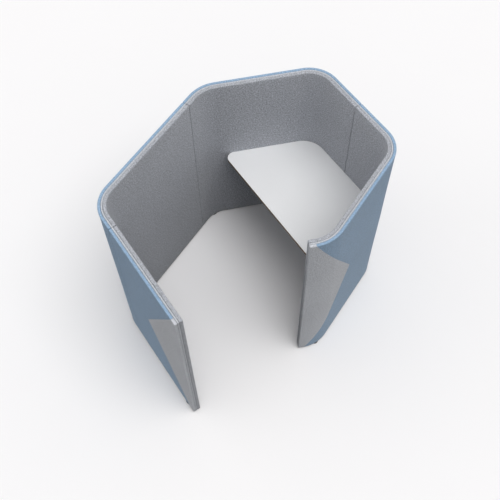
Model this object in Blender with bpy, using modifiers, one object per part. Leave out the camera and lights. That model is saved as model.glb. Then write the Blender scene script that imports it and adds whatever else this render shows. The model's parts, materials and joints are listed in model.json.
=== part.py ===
"""Study carrel: an upholstered screen that wraps round a seat and a fixed worktop.

Metres, +Z up. The origin is on the floor under the middle of the carrel, +Y points at the back wall
that the user faces, and the doorway opens towards +X. The screen is made the way a joiner makes it:
every board and pad is first laid out flat along the wall line, cut and bored, and then wrapped round
the plan. Distances along the wall run on its outer face, from the free end of the right wing, round
the back, to the free end of the front flap. Depth runs from the outer face into the cabin.
"""
import math

import bmesh
import bpy
from mathutils import Matrix, Vector

# Plan of the outer face, between the sharp corners before they are rounded
BACK = 0.806
SHOULDER = 0.822
SIDE = 1.0855
FRONT = 0.942
RETURN = 0.145
TIGHT_RADIUS = 0.21
WIDE_RADIUS = 0.245
ARC_STEP = math.radians(8.5)

# Layers of the wall, by depth from the outer face
OUTER_PAD = 0.020
CORE = 0.012
INNER_PAD = 0.024
WALL = OUTER_PAD + CORE + INNER_PAD
GAP = 0.0003
SOFT_EDGE = 0.005

# Heights
TOP = 1.42
HEM = 0.012
CORE_HEM = 0.014
WORKTOP = 0.74

# Modules and the light patches at the two free ends
MODULE_GAP = 0.002
LEFT_SEAM = 0.175
FRONT_SEAM = 0.22
RIM_BAND = 0.012
PATCH_STRIP = 0.040
PATCH_SLOPE = math.radians(60)

# Worktop
LAMINATE = 0.001
BOARD = 0.022
WORKTOP_DEPTH = 0.667
WORKTOP_GAP = 0.0005
WORKTOP_BACK_RADIUS = 0.165
WORKTOP_FRONT_RADIUS = 0.050
OVERHANG_CUT = 0.0006

# Joining strips, rim clips and the countersunk screw holes; a profile is radius and height
STRIP = 0.0028
STRIP_WIDTH = 0.060
STRIP_LOW = 0.12
STRIP_HIGH = 1.32
STRIP_SCREWS = 4
STRIP_SCREW_SPREAD = 0.018
CLIP = (0.016, 0.0014, 0.010)
SCREW_HOLE = ((0.0, 0.001), (0.0049, 0.001), (0.0049, -0.0001), (0.0026, -0.0024),
              (0.0026, -0.0105), (0.0, -0.0112))
PILOT = 0.0022
PILOT_DEPTH = 0.0105

# Steel angles under the worktop, with their bolts, tee nuts and screw holes
ANGLE_WALL_LEG = 0.040
ANGLE_TOP_LEG = 0.050
ANGLE_STEEL = 0.003
SIDE_ANGLE = 0.36
SIDE_ANGLE_PLACE = 0.40
SIDE_BOLTS = (-0.14, 0.14)
BACK_ANGLE = 0.40
BACK_BOLTS = (-0.16, 0.16)
BOLT_DROP = 0.022
BOLT_RADIUS = 0.003
BOLT_TIP = OUTER_PAD + 0.0014
BUTTON_HEAD = ((0.0, 0.0032), (0.0034, 0.0032), (0.0053, 0.0012), (0.0053, 0.0), (BOLT_RADIUS, 0.0))
NUT_FLANGE = (0.0095, 0.0016)
NUT_BARREL = 0.0041
TEE_NUT_BORE = ((0.0, 0.040), (0.0044, 0.040), (0.0044, OUTER_PAD + 0.0020), (0.0099, OUTER_PAD + 0.0020),
                (0.0099, 0.010), (0.0, 0.010))
SPACER_BORE = 0.0064
TOP_SCREW_SHARE = 0.30
TOP_SCREW_DEPTH = WALL + 0.031
TOP_SCREW_HOLE = 0.0026
TOP_PILOT = 0.0024
TOP_PILOT_DEPTH = 0.0205

# Levelling feet: depth of the stem's axis in the wall, bracket and glide
FOOT_DEPTH = 0.0262
FLAP_FOOT = 0.090
NOTCH = (0.024, 0.056)
TAB = (0.030, 0.095)
TAB_LOW = 0.030
RECESS_ROOM = 0.0016
BEND_ROOM = 1.25
FOOT_SCREWS = (0.068, 0.086)
LUG_EDGE = 0.0214
LUG_LOW = 0.0145
LUG_HIGH = 0.0170
WELD_NUT = (0.0048, 0.0225)
GLIDE_PROFILE = ((0.0, 0.0066), (0.008, 0.0066), (0.009, 0.0054), (0.026, 0.0046), (0.028, 0.0035),
                 (0.028, 0.0010), (0.0272, 0.0), (0.0, 0.0))
STEM_LOW = 0.0030
STEM_HIGH = 0.0440

COLLECTION = "study_carrel"
CUTTERS = "cutters"

LEGS = (
    ("wing_return", -22.5, RETURN, WIDE_RADIUS),
    ("right_shoulder", 22.5, SHOULDER, TIGHT_RADIUS),
    ("back", 90.0, BACK, TIGHT_RADIUS),
    ("left_shoulder", 157.5, SHOULDER, WIDE_RADIUS),
    ("left_side", 202.5, SIDE, TIGHT_RADIUS),
    ("front", 270.0, FRONT, 0.0),
)
DEPTH = (SHOULDER + SIDE) * math.cos(math.radians(22.5))


# ---------------------------------------------------------------- plan

def unit(degrees):
    """Plan direction at an angle."""
    return Vector((math.cos(math.radians(degrees)), math.sin(math.radians(degrees))))


def lay_out_wall():
    """Stations along the outer face, where each leg would start, and the middle of each corner."""
    right_back = Vector((BACK / 2, DEPTH / 2))
    point = right_back - unit(22.5 + 90) * SHOULDER - unit(-22.5 + 90) * RETURN
    along = 0.0
    trimmed = 0.0
    stations = [(along, point.copy(), -unit(LEGS[0][1]))]
    starts = {}
    corners = {}
    for index, (name, normal, length, radius) in enumerate(LEGS):
        last = index == len(LEGS) - 1
        turn = 0.0 if last else LEGS[index + 1][1] - normal
        trim = radius * math.tan(math.radians(turn) / 2)
        starts[name] = along - trimmed
        straight = length - trimmed - trim
        along += straight
        point = point + unit(normal + 90) * straight
        stations.append((along, point.copy(), -unit(normal)))
        if last:
            break
        centre = point - unit(normal) * radius
        arc = radius * math.radians(turn)
        steps = 2 * math.ceil(math.radians(turn) / ARC_STEP / 2)
        corners[name] = along + arc / 2
        for step in range(1, steps + 1):
            angle = normal + turn * step / steps
            stations.append((along + arc * step / steps, centre + unit(angle) * radius, -unit(angle)))
        along += arc
        point = centre + unit(normal + turn) * radius
        trimmed = trim
    return stations, starts, corners


STATIONS, LEG_START, CORNER = lay_out_wall()
WALL_LENGTH = STATIONS[-1][0]


def wall_frame(along):
    """Point on the outer face and the direction into the cabin, at a distance along the wall."""
    for (s0, p0, n0), (s1, p1, n1) in zip(STATIONS, STATIONS[1:]):
        if along <= s1 or s1 == WALL_LENGTH:
            share = (along - s0) / (s1 - s0)
            return p0.lerp(p1, share), n0.lerp(n1, share)
    raise ValueError(along)


SEAM = {
    "back": LEG_START["back"] + BACK / 2,
    "left": LEG_START["left_side"] + LEFT_SEAM,
    "front": LEG_START["front"] + FRONT_SEAM,
}
MODULES = (
    ("right_wing", 0.0, SEAM["back"] - MODULE_GAP / 2),
    ("left_wing", SEAM["back"] + MODULE_GAP / 2, SEAM["left"] - MODULE_GAP / 2),
    ("left_side", SEAM["left"] + MODULE_GAP / 2, SEAM["front"] - MODULE_GAP / 2),
    ("front_flap", SEAM["front"] + MODULE_GAP / 2, WALL_LENGTH),
)
FEET = (
    ("right_front", CORNER["wing_return"]),
    ("right_back", CORNER["right_shoulder"]),
    ("left_back", CORNER["back"]),
    ("left_middle", CORNER["left_shoulder"]),
    ("left_front", CORNER["left_side"]),
    ("flap_end", WALL_LENGTH - FLAP_FOOT),
)
ANGLE_TOP = WORKTOP - 2 * LAMINATE - BOARD - 3 * GAP
BOLT_LEVEL = ANGLE_TOP - BOLT_DROP
ANGLES = (
    ("left", LEG_START["left_shoulder"] + SIDE_ANGLE_PLACE, SIDE_ANGLE, SIDE_BOLTS),
    ("right", LEG_START["right_shoulder"] + SHOULDER - SIDE_ANGLE_PLACE, SIDE_ANGLE, SIDE_BOLTS),
    ("back", SEAM["back"], BACK_ANGLE, BACK_BOLTS),
)
BOLTS = [along + offset for _, along, _, offsets in ANGLES for offset in offsets]


# ---------------------------------------------------------------- materials

def paint(name, colour, roughness, metallic=0.0):
    """Principled material of one finish."""
    material = bpy.data.materials.new(name)
    material.use_nodes = True
    shader = material.node_tree.nodes["Principled BSDF"]
    shader.inputs["Base Color"].default_value = (*colour, 1.0)
    shader.inputs["Roughness"].default_value = roughness
    shader.inputs["Metallic"].default_value = metallic
    material.diffuse_color = (*colour, 1.0)
    return material


# ---------------------------------------------------------------- making and cutting solids

def add_object(name, mesh, material=None, collection=COLLECTION):
    """Object of a finished mesh, in the model's collection."""
    made = bpy.data.objects.new(name, mesh)
    bpy.data.collections[collection].objects.link(made)
    if material is not None:
        mesh.materials.clear()
        mesh.materials.append(material)
    return made


def mesh_from_bmesh(name, bm):
    """Mesh of a finished bmesh, with its faces turned outwards."""
    bmesh.ops.recalc_face_normals(bm, faces=bm.faces)
    mesh = bpy.data.meshes.new(name)
    bm.to_mesh(mesh)
    bm.free()
    return mesh


def evaluated_mesh(made):
    """Mesh of an object with its curve or modifiers worked out."""
    graph = bpy.context.evaluated_depsgraph_get()
    return bpy.data.meshes.new_from_object(made.evaluated_get(graph))


def extruded(name, loops, thickness):
    """Mesh of a flat outline in XY, with holes after the first loop, centred on Z."""
    curve = bpy.data.curves.new(name, "CURVE")
    curve.dimensions = "2D"
    curve.fill_mode = "BOTH"
    curve.extrude = thickness / 2
    for loop in loops:
        spline = curve.splines.new("POLY")
        spline.points.add(len(loop) - 1)
        spline.use_cyclic_u = True
        for place, (x, y) in zip(spline.points, loop):
            place.co = (x, y, 0.0, 1.0)
    holder = add_object(name, curve, collection=CUTTERS)
    mesh = evaluated_mesh(holder)
    bpy.data.objects.remove(holder)
    bpy.data.curves.remove(curve)
    bm = bmesh.new()
    bm.from_mesh(mesh)
    bmesh.ops.remove_doubles(bm, verts=bm.verts, dist=0.00001)
    bmesh.ops.dissolve_limit(bm, angle_limit=0.001, verts=bm.verts, edges=bm.edges)
    bmesh.ops.recalc_face_normals(bm, faces=bm.faces)
    bm.to_mesh(mesh)
    bm.free()
    return mesh


def flat_panel(name, loops, low, high):
    """Upright panel laid out flat: X along the wall, Y the depth from low to high, Z up."""
    mesh = extruded(name, loops, high - low)
    upright = Matrix.Rotation(math.radians(90), 4, "X")
    mesh.transform(Matrix.Translation((0.0, (low + high) / 2, 0.0)) @ upright)
    return mesh


def rounded(points, radii, step=ARC_STEP):
    """Closed outline with an arc at each corner that has a radius."""
    outline = []
    for index, (corner, radius) in enumerate(zip(points, radii)):
        here = Vector(corner)
        back = (Vector(points[index - 1]) - here).normalized()
        ahead = (Vector(points[(index + 1) % len(points)]) - here).normalized()
        half = back.angle(ahead) / 2
        centre = here + (back + ahead).normalized() * radius / math.sin(half)
        first = here + back * radius / math.tan(half) - centre
        last = here + ahead * radius / math.tan(half) - centre
        steps = max(2, math.ceil((math.pi - 2 * half) / step))
        sweep = first.angle_signed(last)
        for k in range(steps + 1):
            spoke = first.copy()
            spoke.rotate(Matrix.Rotation(-sweep * k / steps, 2))
            outline.append(tuple(centre + spoke))
    return outline


def box(name, low, high):
    """Box between two corners."""
    bm = bmesh.new()
    low = Vector(low)
    high = Vector(high)
    middle = Matrix.Translation((low + high) / 2)
    bmesh.ops.create_cube(bm, size=1.0, matrix=middle @ Matrix.Diagonal((*(high - low), 1.0)))
    return mesh_from_bmesh(name, bm)


def drum(name, radius, start, end, sides=16):
    """Cylinder between two points."""
    bm = bmesh.new()
    run = Vector(end) - Vector(start)
    turn = Vector((0, 0, 1)).rotation_difference(run).to_matrix().to_4x4()
    place = Matrix.Translation((Vector(start) + Vector(end)) / 2) @ turn
    bmesh.ops.create_cone(bm, cap_ends=True, segments=sides, radius1=radius, radius2=radius,
                          depth=run.length, matrix=place)
    return mesh_from_bmesh(name, bm)


def turned(name, profile, steps=12):
    """Solid of revolution about Z; the profile starts and ends on the axis."""
    mesh = bpy.data.meshes.new(name)
    edges = [(k, k + 1) for k in range(len(profile) - 1)]
    mesh.from_pydata([(r, 0.0, z) for r, z in profile], edges, [])
    holder = add_object(name, mesh, collection=CUTTERS)
    lathe = holder.modifiers.new("turn", "SCREW")
    lathe.steps = steps
    lathe.render_steps = steps
    lathe.use_merge_vertices = True
    lathe.merge_threshold = 0.00001
    shape = evaluated_mesh(holder)
    bpy.data.objects.remove(holder)
    bm = bmesh.new()
    bm.from_mesh(shape)
    bmesh.ops.remove_doubles(bm, verts=bm.verts, dist=0.00001)
    return mesh_from_bmesh(name, bm)


def moved(mesh, matrix):
    """Copy of a mesh somewhere else."""
    copy = mesh.copy()
    copy.transform(matrix)
    return copy


def combine(mesh, others, operation="DIFFERENCE"):
    """Mesh with the other meshes cut away from it, or joined to it, in one Boolean."""
    bm = bmesh.new()
    for other in others:
        bm.from_mesh(other)
    body = add_object("blank", mesh, collection=CUTTERS)
    tool = add_object("tool", mesh_from_bmesh("tool", bm), collection=CUTTERS)
    cut = body.modifiers.new("cut", "BOOLEAN")
    cut.operation = operation
    cut.solver = "EXACT"
    cut.use_self = True
    cut.object = tool
    shape = evaluated_mesh(body)
    bpy.data.objects.remove(body)
    bpy.data.objects.remove(tool)
    return shape


def wrapped(name, mesh):
    """Flat layout bent round the plan, with a crease at each station it crosses."""
    bm = bmesh.new()
    bm.from_mesh(mesh)
    start = min(v.co.x for v in bm.verts)
    end = max(v.co.x for v in bm.verts)
    for along, _, _ in STATIONS:
        if start + 0.0001 < along < end - 0.0001:
            every = bm.verts[:] + bm.edges[:] + bm.faces[:]
            bmesh.ops.bisect_plane(bm, geom=every, dist=0.000001,
                                   plane_co=(along, 0, 0), plane_no=(1, 0, 0))
    for vertex in bm.verts:
        point, inward = wall_frame(vertex.co.x)
        place = point + inward * vertex.co.y
        vertex.co = (place.x, place.y, vertex.co.z)
    return mesh_from_bmesh(name, bm)


def wall_matrix(along, depth=0.0, height=0.0):
    """Placing matrix on the wall: X along it, Y into the cabin, Z up."""
    point, inward = wall_frame(along)
    inward = inward.normalized()
    place = point + inward * depth
    turn = Matrix.Rotation(math.atan2(inward.y, inward.x) - math.pi / 2, 4, "Z")
    return Matrix.Translation((place.x, place.y, height)) @ turn


def softened(mesh, width, wanted):
    """Mesh with the chosen edges rounded over."""
    bm = bmesh.new()
    bm.from_mesh(mesh)
    edges = [e for e in bm.edges if wanted(e)]
    bmesh.ops.bevel(bm, geom=edges, offset=width, segments=2, profile=0.5, affect="EDGES")
    bm.to_mesh(mesh)
    bm.free()
    return mesh


# ---------------------------------------------------------------- screws and bores

FACING_OUT = Matrix.Rotation(math.radians(90), 4, "X")
FACING_IN = Matrix.Rotation(math.radians(-90), 4, "X")


def pilots(places):
    """Pilot bores of the screws at a list of places."""
    return [drum("pilot", PILOT, place @ Vector((0, 0, -0.001)), place @ Vector((0, 0, -PILOT_DEPTH)), 8)
            for place in places]


def strip_screw_places(along):
    """Where the screws of the joining strip at a seam go, on the flat layout."""
    rise = (STRIP_HIGH - STRIP_LOW) / STRIP_SCREWS
    levels = [STRIP_LOW + rise * (k + 0.5) for k in range(STRIP_SCREWS)]
    return [Matrix.Translation((along + side * STRIP_SCREW_SPREAD, OUTER_PAD + GAP, level)) @ FACING_OUT
            for level in levels for side in (-1, 1)]


def foot_screw_places(along):
    """Where the screws of a foot bracket go, on the flat layout."""
    depth = OUTER_PAD + CORE - GAP
    return [Matrix.Translation((along, depth, height)) @ FACING_IN for height in FOOT_SCREWS]


# ---------------------------------------------------------------- screen

def patch_reach():
    """How far the patch's point lies from the wall's free end."""
    return PATCH_STRIP + (TOP - HEM) / 2 / math.tan(PATCH_SLOPE)


def patch_outline(sign, end):
    """Outline of the light patch: a strip at the free end and a triangle that points along the wall."""
    middle = (TOP + HEM) / 2
    near = end + sign * PATCH_STRIP
    return [(end, HEM), (near, HEM), (end + sign * patch_reach(), middle), (near, TOP), (end, TOP)]


def outer_outline(start, end):
    """Outline of an outer pad, notched where the light patch goes."""
    middle = (TOP + HEM) / 2
    skip = GAP / math.sin(PATCH_SLOPE)
    left = [(start, TOP), (start, HEM)]
    right = [(end, HEM), (end, TOP)]
    if start == 0.0:
        near = PATCH_STRIP + skip
        left = [(near, TOP), (patch_reach() + skip, middle), (near, HEM)]
    if end == WALL_LENGTH:
        near = WALL_LENGTH - PATCH_STRIP - skip
        right = [(near, HEM), (WALL_LENGTH - patch_reach() - skip, middle), (near, TOP)]
    return left + right


def visible_rim(face_depth, ends):
    """Test for the edges to round: those of the visible face along the hem, the rim and the ends."""
    def wanted(edge):
        a, b = (v.co for v in edge.verts)
        if max(abs(a.y - face_depth), abs(b.y - face_depth)) > 0.0001:
            return False
        for level in (HEM, TOP):
            if max(abs(a.z - level), abs(b.z - level)) < 0.0001:
                return True
        return any(max(abs(a.x - end), abs(b.x - end)) < 0.0001 for end in ends)
    return wanted


def outer_pad(name, start, end, cloth):
    """Foam and blue cover on the outside of a module."""
    mesh = flat_panel(name, [outer_outline(start, end)], 0.0, OUTER_PAD - GAP / 2)
    mesh = softened(mesh, SOFT_EDGE, visible_rim(0.0, (start, end)))
    return add_object(name, wrapped(name, mesh), cloth)


def patch_pad(name, sign, end, cloth):
    """Foam and light cover of the patch at a free end."""
    mesh = flat_panel(name, [patch_outline(sign, end)], 0.0, OUTER_PAD - GAP / 2)
    mesh = softened(mesh, SOFT_EDGE, visible_rim(0.0, (end,)))
    return add_object(name, wrapped(name, mesh), cloth)


def inner_pad(name, start, end, cloth):
    """Foam and grey cover on the cabin side, bored for the worktop's spacers."""
    outline = [(start, HEM), (end, HEM), (end, TOP), (start, TOP)]
    mesh = flat_panel(name, [outline], OUTER_PAD + CORE + GAP / 2, WALL)
    mesh = softened(mesh, SOFT_EDGE, visible_rim(WALL, (start, end)))
    bores = [drum("bore", SPACER_BORE, (s, OUTER_PAD, BOLT_LEVEL), (s, WALL + 0.01, BOLT_LEVEL))
             for s in BOLTS if start < s < end]
    if bores:
        mesh = combine(mesh, bores)
    return add_object(name, wrapped(name, mesh), cloth)


def core_cutters(start, end):
    """Pockets, notches and bores of a core board, on the flat layout."""
    front = OUTER_PAD
    back = OUTER_PAD + CORE
    cutters = []
    for along in SEAM.values():
        if not start - 0.01 < along < end + 0.01:
            continue
        reach = STRIP_WIDTH / 2 + GAP
        cutters.append(box("pocket", (along - reach, front - 0.01, STRIP_LOW - GAP),
                           (along + reach, front + STRIP + 2 * GAP, STRIP_HIGH + GAP)))
        cutters += pilots(p for p in strip_screw_places(along) if start < p.translation.x < end)
    for _, along in FEET:
        if not start < along < end:
            continue
        half = NOTCH[0] / 2 * BEND_ROOM
        cutters.append(box("notch", (along - half, front - 0.01, 0.0),
                           (along + half, back + 0.01, NOTCH[1])))
        half = TAB[0] / 2 * BEND_ROOM
        cutters.append(box("recess", (along - half, back - STRIP - RECESS_ROOM, 0.0),
                           (along + half, back + 0.01, TAB[1] + GAP)))
        cutters += pilots(foot_screw_places(along))
    nut_bore = turned("nut_bore", TEE_NUT_BORE, 16)
    cutters += [moved(nut_bore, Matrix.Translation((along, 0, BOLT_LEVEL)) @ FACING_IN)
                for along in BOLTS if start < along < end]
    return cutters


def core_board(name, start, end, wood):
    """Bent plywood board that carries the module's pads and hardware."""
    left = start + (RIM_BAND + GAP if start == 0.0 else 0.0)
    right = end - (RIM_BAND + GAP if end == WALL_LENGTH else 0.0)
    crest = TOP - RIM_BAND - GAP
    outline = [(left, CORE_HEM), (right, CORE_HEM), (right, crest), (left, crest)]
    mesh = flat_panel(name, [outline], OUTER_PAD + GAP / 2, OUTER_PAD + CORE - GAP / 2)
    mesh = combine(mesh, core_cutters(start, end))
    return add_object(name, wrapped(name, mesh), wood)


def rim_band(name, start, end, cloth):
    """Cloth-covered strip over the core's top edge, and down a free end."""
    crest = TOP - RIM_BAND
    outline = [(start, crest), (end, crest), (end, TOP), (start, TOP)]
    if start == 0.0:
        outline = [(0, HEM), (RIM_BAND, HEM), (RIM_BAND, crest), (end, crest), (end, TOP), (0, TOP)]
    if end == WALL_LENGTH:
        inner = end - RIM_BAND
        outline = [(start, crest), (inner, crest), (inner, HEM), (end, HEM), (end, TOP), (start, TOP)]
    mesh = flat_panel(name, [outline], OUTER_PAD + GAP / 2, OUTER_PAD + CORE - GAP / 2)
    length, thickness, height = CLIP
    back = OUTER_PAD + CORE
    pockets = [box("pocket", (along - length / 2 - GAP, back - thickness - 2 * GAP, TOP - height - GAP),
                   (along + length / 2 + GAP, back + 0.01, TOP + 0.01))
               for along in SEAM.values() if start - 0.01 < along < end + 0.01]
    mesh = combine(mesh, pockets)
    return add_object(name, wrapped(name, mesh), cloth)


def build_screen(finish):
    """Four wall modules and the two light patches."""
    for name, start, end in MODULES:
        outer_pad(f"{name}_outer_pad", start, end, finish["blue_wool"])
        core_board(f"{name}_core", start, end, finish["plywood"])
        rim_band(f"{name}_rim_band", start, end, finish["light_wool"])
        inner_pad(f"{name}_inner_pad", start, end, finish["grey_wool"])
    patch_pad("right_wing_patch", 1, 0.0, finish["light_wool"])
    patch_pad("front_flap_patch", -1, WALL_LENGTH, finish["light_wool"])


# ---------------------------------------------------------------- joints between the modules

def joining_strip(name, along, steel):
    """Flat steel strip that ties neighbouring core boards together behind a seam."""
    front = OUTER_PAD + GAP
    half = STRIP_WIDTH / 2
    strip = box(name, (-half, front, STRIP_LOW), (half, front + STRIP, STRIP_HIGH))
    hole = turned("screw_hole", SCREW_HOLE, 10)
    mesh = combine(strip, [moved(hole, place) for place in strip_screw_places(0.0)])
    made = add_object(name, mesh, steel)
    made.matrix_world = wall_matrix(along)
    return made


def rim_clip(name, along, steel):
    """Small spring-steel clip pressed into the rim across a seam."""
    length, thickness, height = CLIP
    back = OUTER_PAD + CORE - GAP
    mesh = box(name, (-length / 2, back - thickness, TOP - height), (length / 2, back, TOP - GAP))
    mesh = softened(mesh, GAP, lambda edge: min(v.co.z for v in edge.verts) > TOP - 0.002)
    made = add_object(name, mesh, steel)
    made.matrix_world = wall_matrix(along)
    return made


def build_links(finish):
    """A strip and a rim clip at each of the three seams."""
    for seam, along in SEAM.items():
        joining_strip(f"joining_strip_{seam}", along, finish["zinc_steel"])
        rim_clip(f"rim_clip_{seam}", along, finish["zinc_steel"])


# ---------------------------------------------------------------- levelling feet

def foot_bracket_mesh():
    """Folded tab with a lug and a welded nut, about the stem's axis: Y is the depth from that axis."""
    inner = OUTER_PAD + CORE - GAP - FOOT_DEPTH
    outer = LUG_EDGE - FOOT_DEPTH
    lug_half = NOTCH[0] / 2 - 0.0008
    tab = box("tab", (-TAB[0] / 2, inner - STRIP, TAB_LOW), (TAB[0] / 2, inner, TAB[1]))
    neck = box("neck", (-lug_half, inner - STRIP, LUG_LOW), (lug_half, inner, TAB_LOW + 0.01))
    lug = box("lug", (-lug_half, outer, LUG_LOW), (lug_half, inner - STRIP / 2, LUG_HIGH))
    nut = drum("nut", WELD_NUT[0], (0, 0, LUG_HIGH - 0.001), (0, 0, WELD_NUT[1]), 6)
    hole = turned("screw_hole", SCREW_HOLE, 10)
    bracket = combine(tab, [neck, lug, nut], "UNION")
    cuts = [drum("bore", BOLT_RADIUS + GAP, (0, 0, 0.0), (0, 0, 0.060), 12)]
    to_axis = Matrix.Translation((0, -FOOT_DEPTH, 0))
    cuts += [moved(hole, to_axis @ place) for place in foot_screw_places(0.0)]
    return combine(bracket, cuts)


def build_feet(finish):
    """Six levelling feet: a bracket in the core, and a stem with its glide on the joint's axis."""
    bracket = foot_bracket_mesh()
    glide = turned("glide", GLIDE_PROFILE, 20)
    socket = drum("socket", BOLT_RADIUS + GAP, (0, 0, STEM_LOW - GAP), (0, 0, 0.02), 12)
    glide = combine(glide, [socket])
    stem = drum("stem", BOLT_RADIUS, (0, 0, STEM_LOW), (0, 0, STEM_HIGH), 12)
    for name, along in FEET:
        axis = bpy.data.objects.new(f"foot_axis_{name}", None)
        bpy.data.collections[COLLECTION].objects.link(axis)
        axis.matrix_world = wall_matrix(along, FOOT_DEPTH)
        for piece, mesh, material in (("stem", stem, "zinc_steel"), ("glide", glide, "black_nylon")):
            made = add_object(f"foot_{piece}_{name}", mesh, finish[material])
            made.parent = axis
        made = add_object(f"foot_bracket_{name}", bracket, finish["zinc_steel"])
        made.matrix_world = axis.matrix_world


# ---------------------------------------------------------------- worktop

def worktop_outline(inset):
    """Outline of the worktop: it follows the inner faces of the shoulders and of the back wall."""
    depth = WALL + WORKTOP_GAP + inset
    shoulder = Vector((BACK / 2, DEPTH / 2)) - unit(22.5) * depth
    run = unit(22.5 + 90)
    back = DEPTH / 2 - depth
    front = DEPTH / 2 - WORKTOP_DEPTH + inset
    half_back = shoulder.x + (back - shoulder.y) * run.x / run.y
    half_front = shoulder.x + (front - shoulder.y) * run.x / run.y
    corners = [(-half_front, front), (half_front, front), (half_back, back), (-half_back, back)]
    radii = [WORKTOP_FRONT_RADIUS, WORKTOP_FRONT_RADIUS, WORKTOP_BACK_RADIUS, WORKTOP_BACK_RADIUS]
    return rounded(corners, radii)


def angle_screw_places():
    """Tops of the screws that rise from the angles into the worktop."""
    places = []
    for _, along, length, _ in ANGLES:
        for offset in (-length * TOP_SCREW_SHARE, length * TOP_SCREW_SHARE):
            point, inward = wall_frame(along + offset)
            place = point + inward * TOP_SCREW_DEPTH
            places.append(Vector((place.x, place.y, ANGLE_TOP - ANGLE_STEEL - GAP)))
    return places


def sheet(name, inset, low, high, material, bores=None):
    """Flat sheet of the worktop between two heights, bored from below where it has bores."""
    mesh = extruded(name, [worktop_outline(inset)], high - low)
    mesh.transform(Matrix.Translation((0, 0, (low + high) / 2)))
    if bores:
        mesh = combine(mesh, bores)
    return add_object(name, mesh, material)


def steel_angle(name, along, length, bolts, steel):
    """Folded steel angle between the wall and the underside of the worktop."""
    low = ANGLE_TOP - ANGLE_WALL_LEG
    wall = WALL + GAP
    outline = [(wall, low), (wall + ANGLE_STEEL, low), (wall + ANGLE_STEEL, ANGLE_TOP - ANGLE_STEEL),
               (wall + ANGLE_TOP_LEG, ANGLE_TOP - ANGLE_STEEL), (wall + ANGLE_TOP_LEG, ANGLE_TOP),
               (wall, ANGLE_TOP)]
    mesh = extruded(name, [outline], length)
    mesh.transform(Matrix(((0, 0, 1, 0), (1, 0, 0, 0), (0, 1, 0, 0), (0, 0, 0, 1))))
    cuts = [drum("bore", BOLT_RADIUS + 2 * GAP, (s, WALL, BOLT_LEVEL), (s, WALL + 0.01, BOLT_LEVEL))
            for s in bolts]
    for offset in (-length * TOP_SCREW_SHARE, length * TOP_SCREW_SHARE):
        below = Vector((offset, TOP_SCREW_DEPTH, ANGLE_TOP - 0.01))
        above = Vector((offset, TOP_SCREW_DEPTH, ANGLE_TOP + 0.01))
        cuts.append(drum("bore", TOP_SCREW_HOLE, below, above, 10))
    made = add_object(name, combine(mesh, cuts), steel)
    made.matrix_world = wall_matrix(along)
    return made


def bolt_and_nut_meshes():
    """Button-head bolt and the tee nut it screws into, along the depth of the wall."""
    face = WALL + GAP + ANGLE_STEEL + GAP
    head = [(radius, face + height) for radius, height in BUTTON_HEAD]
    bolt = turned("button_bolt", [*head, (BOLT_RADIUS, BOLT_TIP), (0.0, BOLT_TIP)], 16)
    radius, thickness = NUT_FLANGE
    flange = drum("flange", radius, (0, 0, OUTER_PAD + GAP), (0, 0, OUTER_PAD + thickness))
    barrel = drum("barrel", NUT_BARREL, (0, 0, OUTER_PAD + 0.001), (0, 0, OUTER_PAD + CORE - 0.001))
    nut = combine(flange, [barrel], "UNION")
    nut = combine(nut, [drum("bore", BOLT_RADIUS + GAP, (0, 0, 0.01), (0, 0, 0.04))])
    return bolt, nut


def build_worktop(finish):
    """Board with its two laminates, the three angles that carry it, and their fixings."""
    board_top = WORKTOP - LAMINATE - GAP
    board_low = board_top - BOARD
    heads = angle_screw_places()
    pilot = [drum("pilot", TOP_PILOT, p, p + Vector((0, 0, TOP_PILOT_DEPTH)), 10) for p in heads]
    clear = [drum("clear", TOP_SCREW_HOLE, p, p + Vector((0, 0, 0.01)), 10) for p in heads]
    white = finish["white_laminate"]
    sheet("worktop_laminate", 0.0, WORKTOP - LAMINATE, WORKTOP, white)
    sheet("worktop_board", 0.0, board_low, board_top, finish["birch_edge"], pilot)
    sheet("worktop_balance_sheet", OVERHANG_CUT, board_low - GAP - LAMINATE, board_low - GAP, white, clear)
    bolt, nut = bolt_and_nut_meshes()
    for name, along, length, offsets in ANGLES:
        steel_angle(f"worktop_angle_{name}", along, length, offsets, finish["black_steel"])
        for number, offset in enumerate(offsets, 1):
            place = wall_matrix(along + offset, 0.0, BOLT_LEVEL) @ FACING_IN
            screw = add_object(f"angle_bolt_{name}_{number}", bolt, finish["black_steel"])
            screw.matrix_world = place
            anchor = add_object(f"core_tee_nut_{name}_{number}", nut, finish["zinc_steel"])
            anchor.matrix_world = place


# ---------------------------------------------------------------- whole model

def main():
    """Clear the scene and build the carrel."""
    for old in list(bpy.data.objects):
        bpy.data.objects.remove(old, do_unlink=True)
    for name in (COLLECTION, CUTTERS):
        bpy.context.scene.collection.children.link(bpy.data.collections.new(name))
    finish = {
        "blue_wool": paint("blue_wool", (0.20, 0.26, 0.32), 0.95),
        "grey_wool": paint("grey_wool", (0.22, 0.23, 0.25), 0.95),
        "light_wool": paint("light_wool", (0.40, 0.42, 0.44), 0.95),
        "plywood": paint("plywood", (0.62, 0.46, 0.30), 0.65),
        "birch_edge": paint("birch_edge", (0.45, 0.30, 0.19), 0.60),
        "white_laminate": paint("white_laminate", (0.80, 0.81, 0.82), 0.40),
        "black_steel": paint("black_steel", (0.03, 0.03, 0.03), 0.50, 0.3),
        "zinc_steel": paint("zinc_steel", (0.60, 0.61, 0.63), 0.35, 1.0),
        "black_nylon": paint("black_nylon", (0.03, 0.03, 0.03), 0.70),
    }
    build_screen(finish)
    build_links(finish)
    build_feet(finish)
    build_worktop(finish)
    bpy.context.view_layer.update()


main()
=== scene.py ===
"""Study carrel: cloth covers, trim, finishes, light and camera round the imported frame.

Metres, +Z up, in the part's own frame. Distances along the wall run on its outer face, from the free
end of the right wing, round the back, to the free end of the front flap. Depth runs from the outer
face into the cabin.
"""
import json
import math

import bmesh
import bpy
from mathutils import Matrix, Vector, noise


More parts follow.
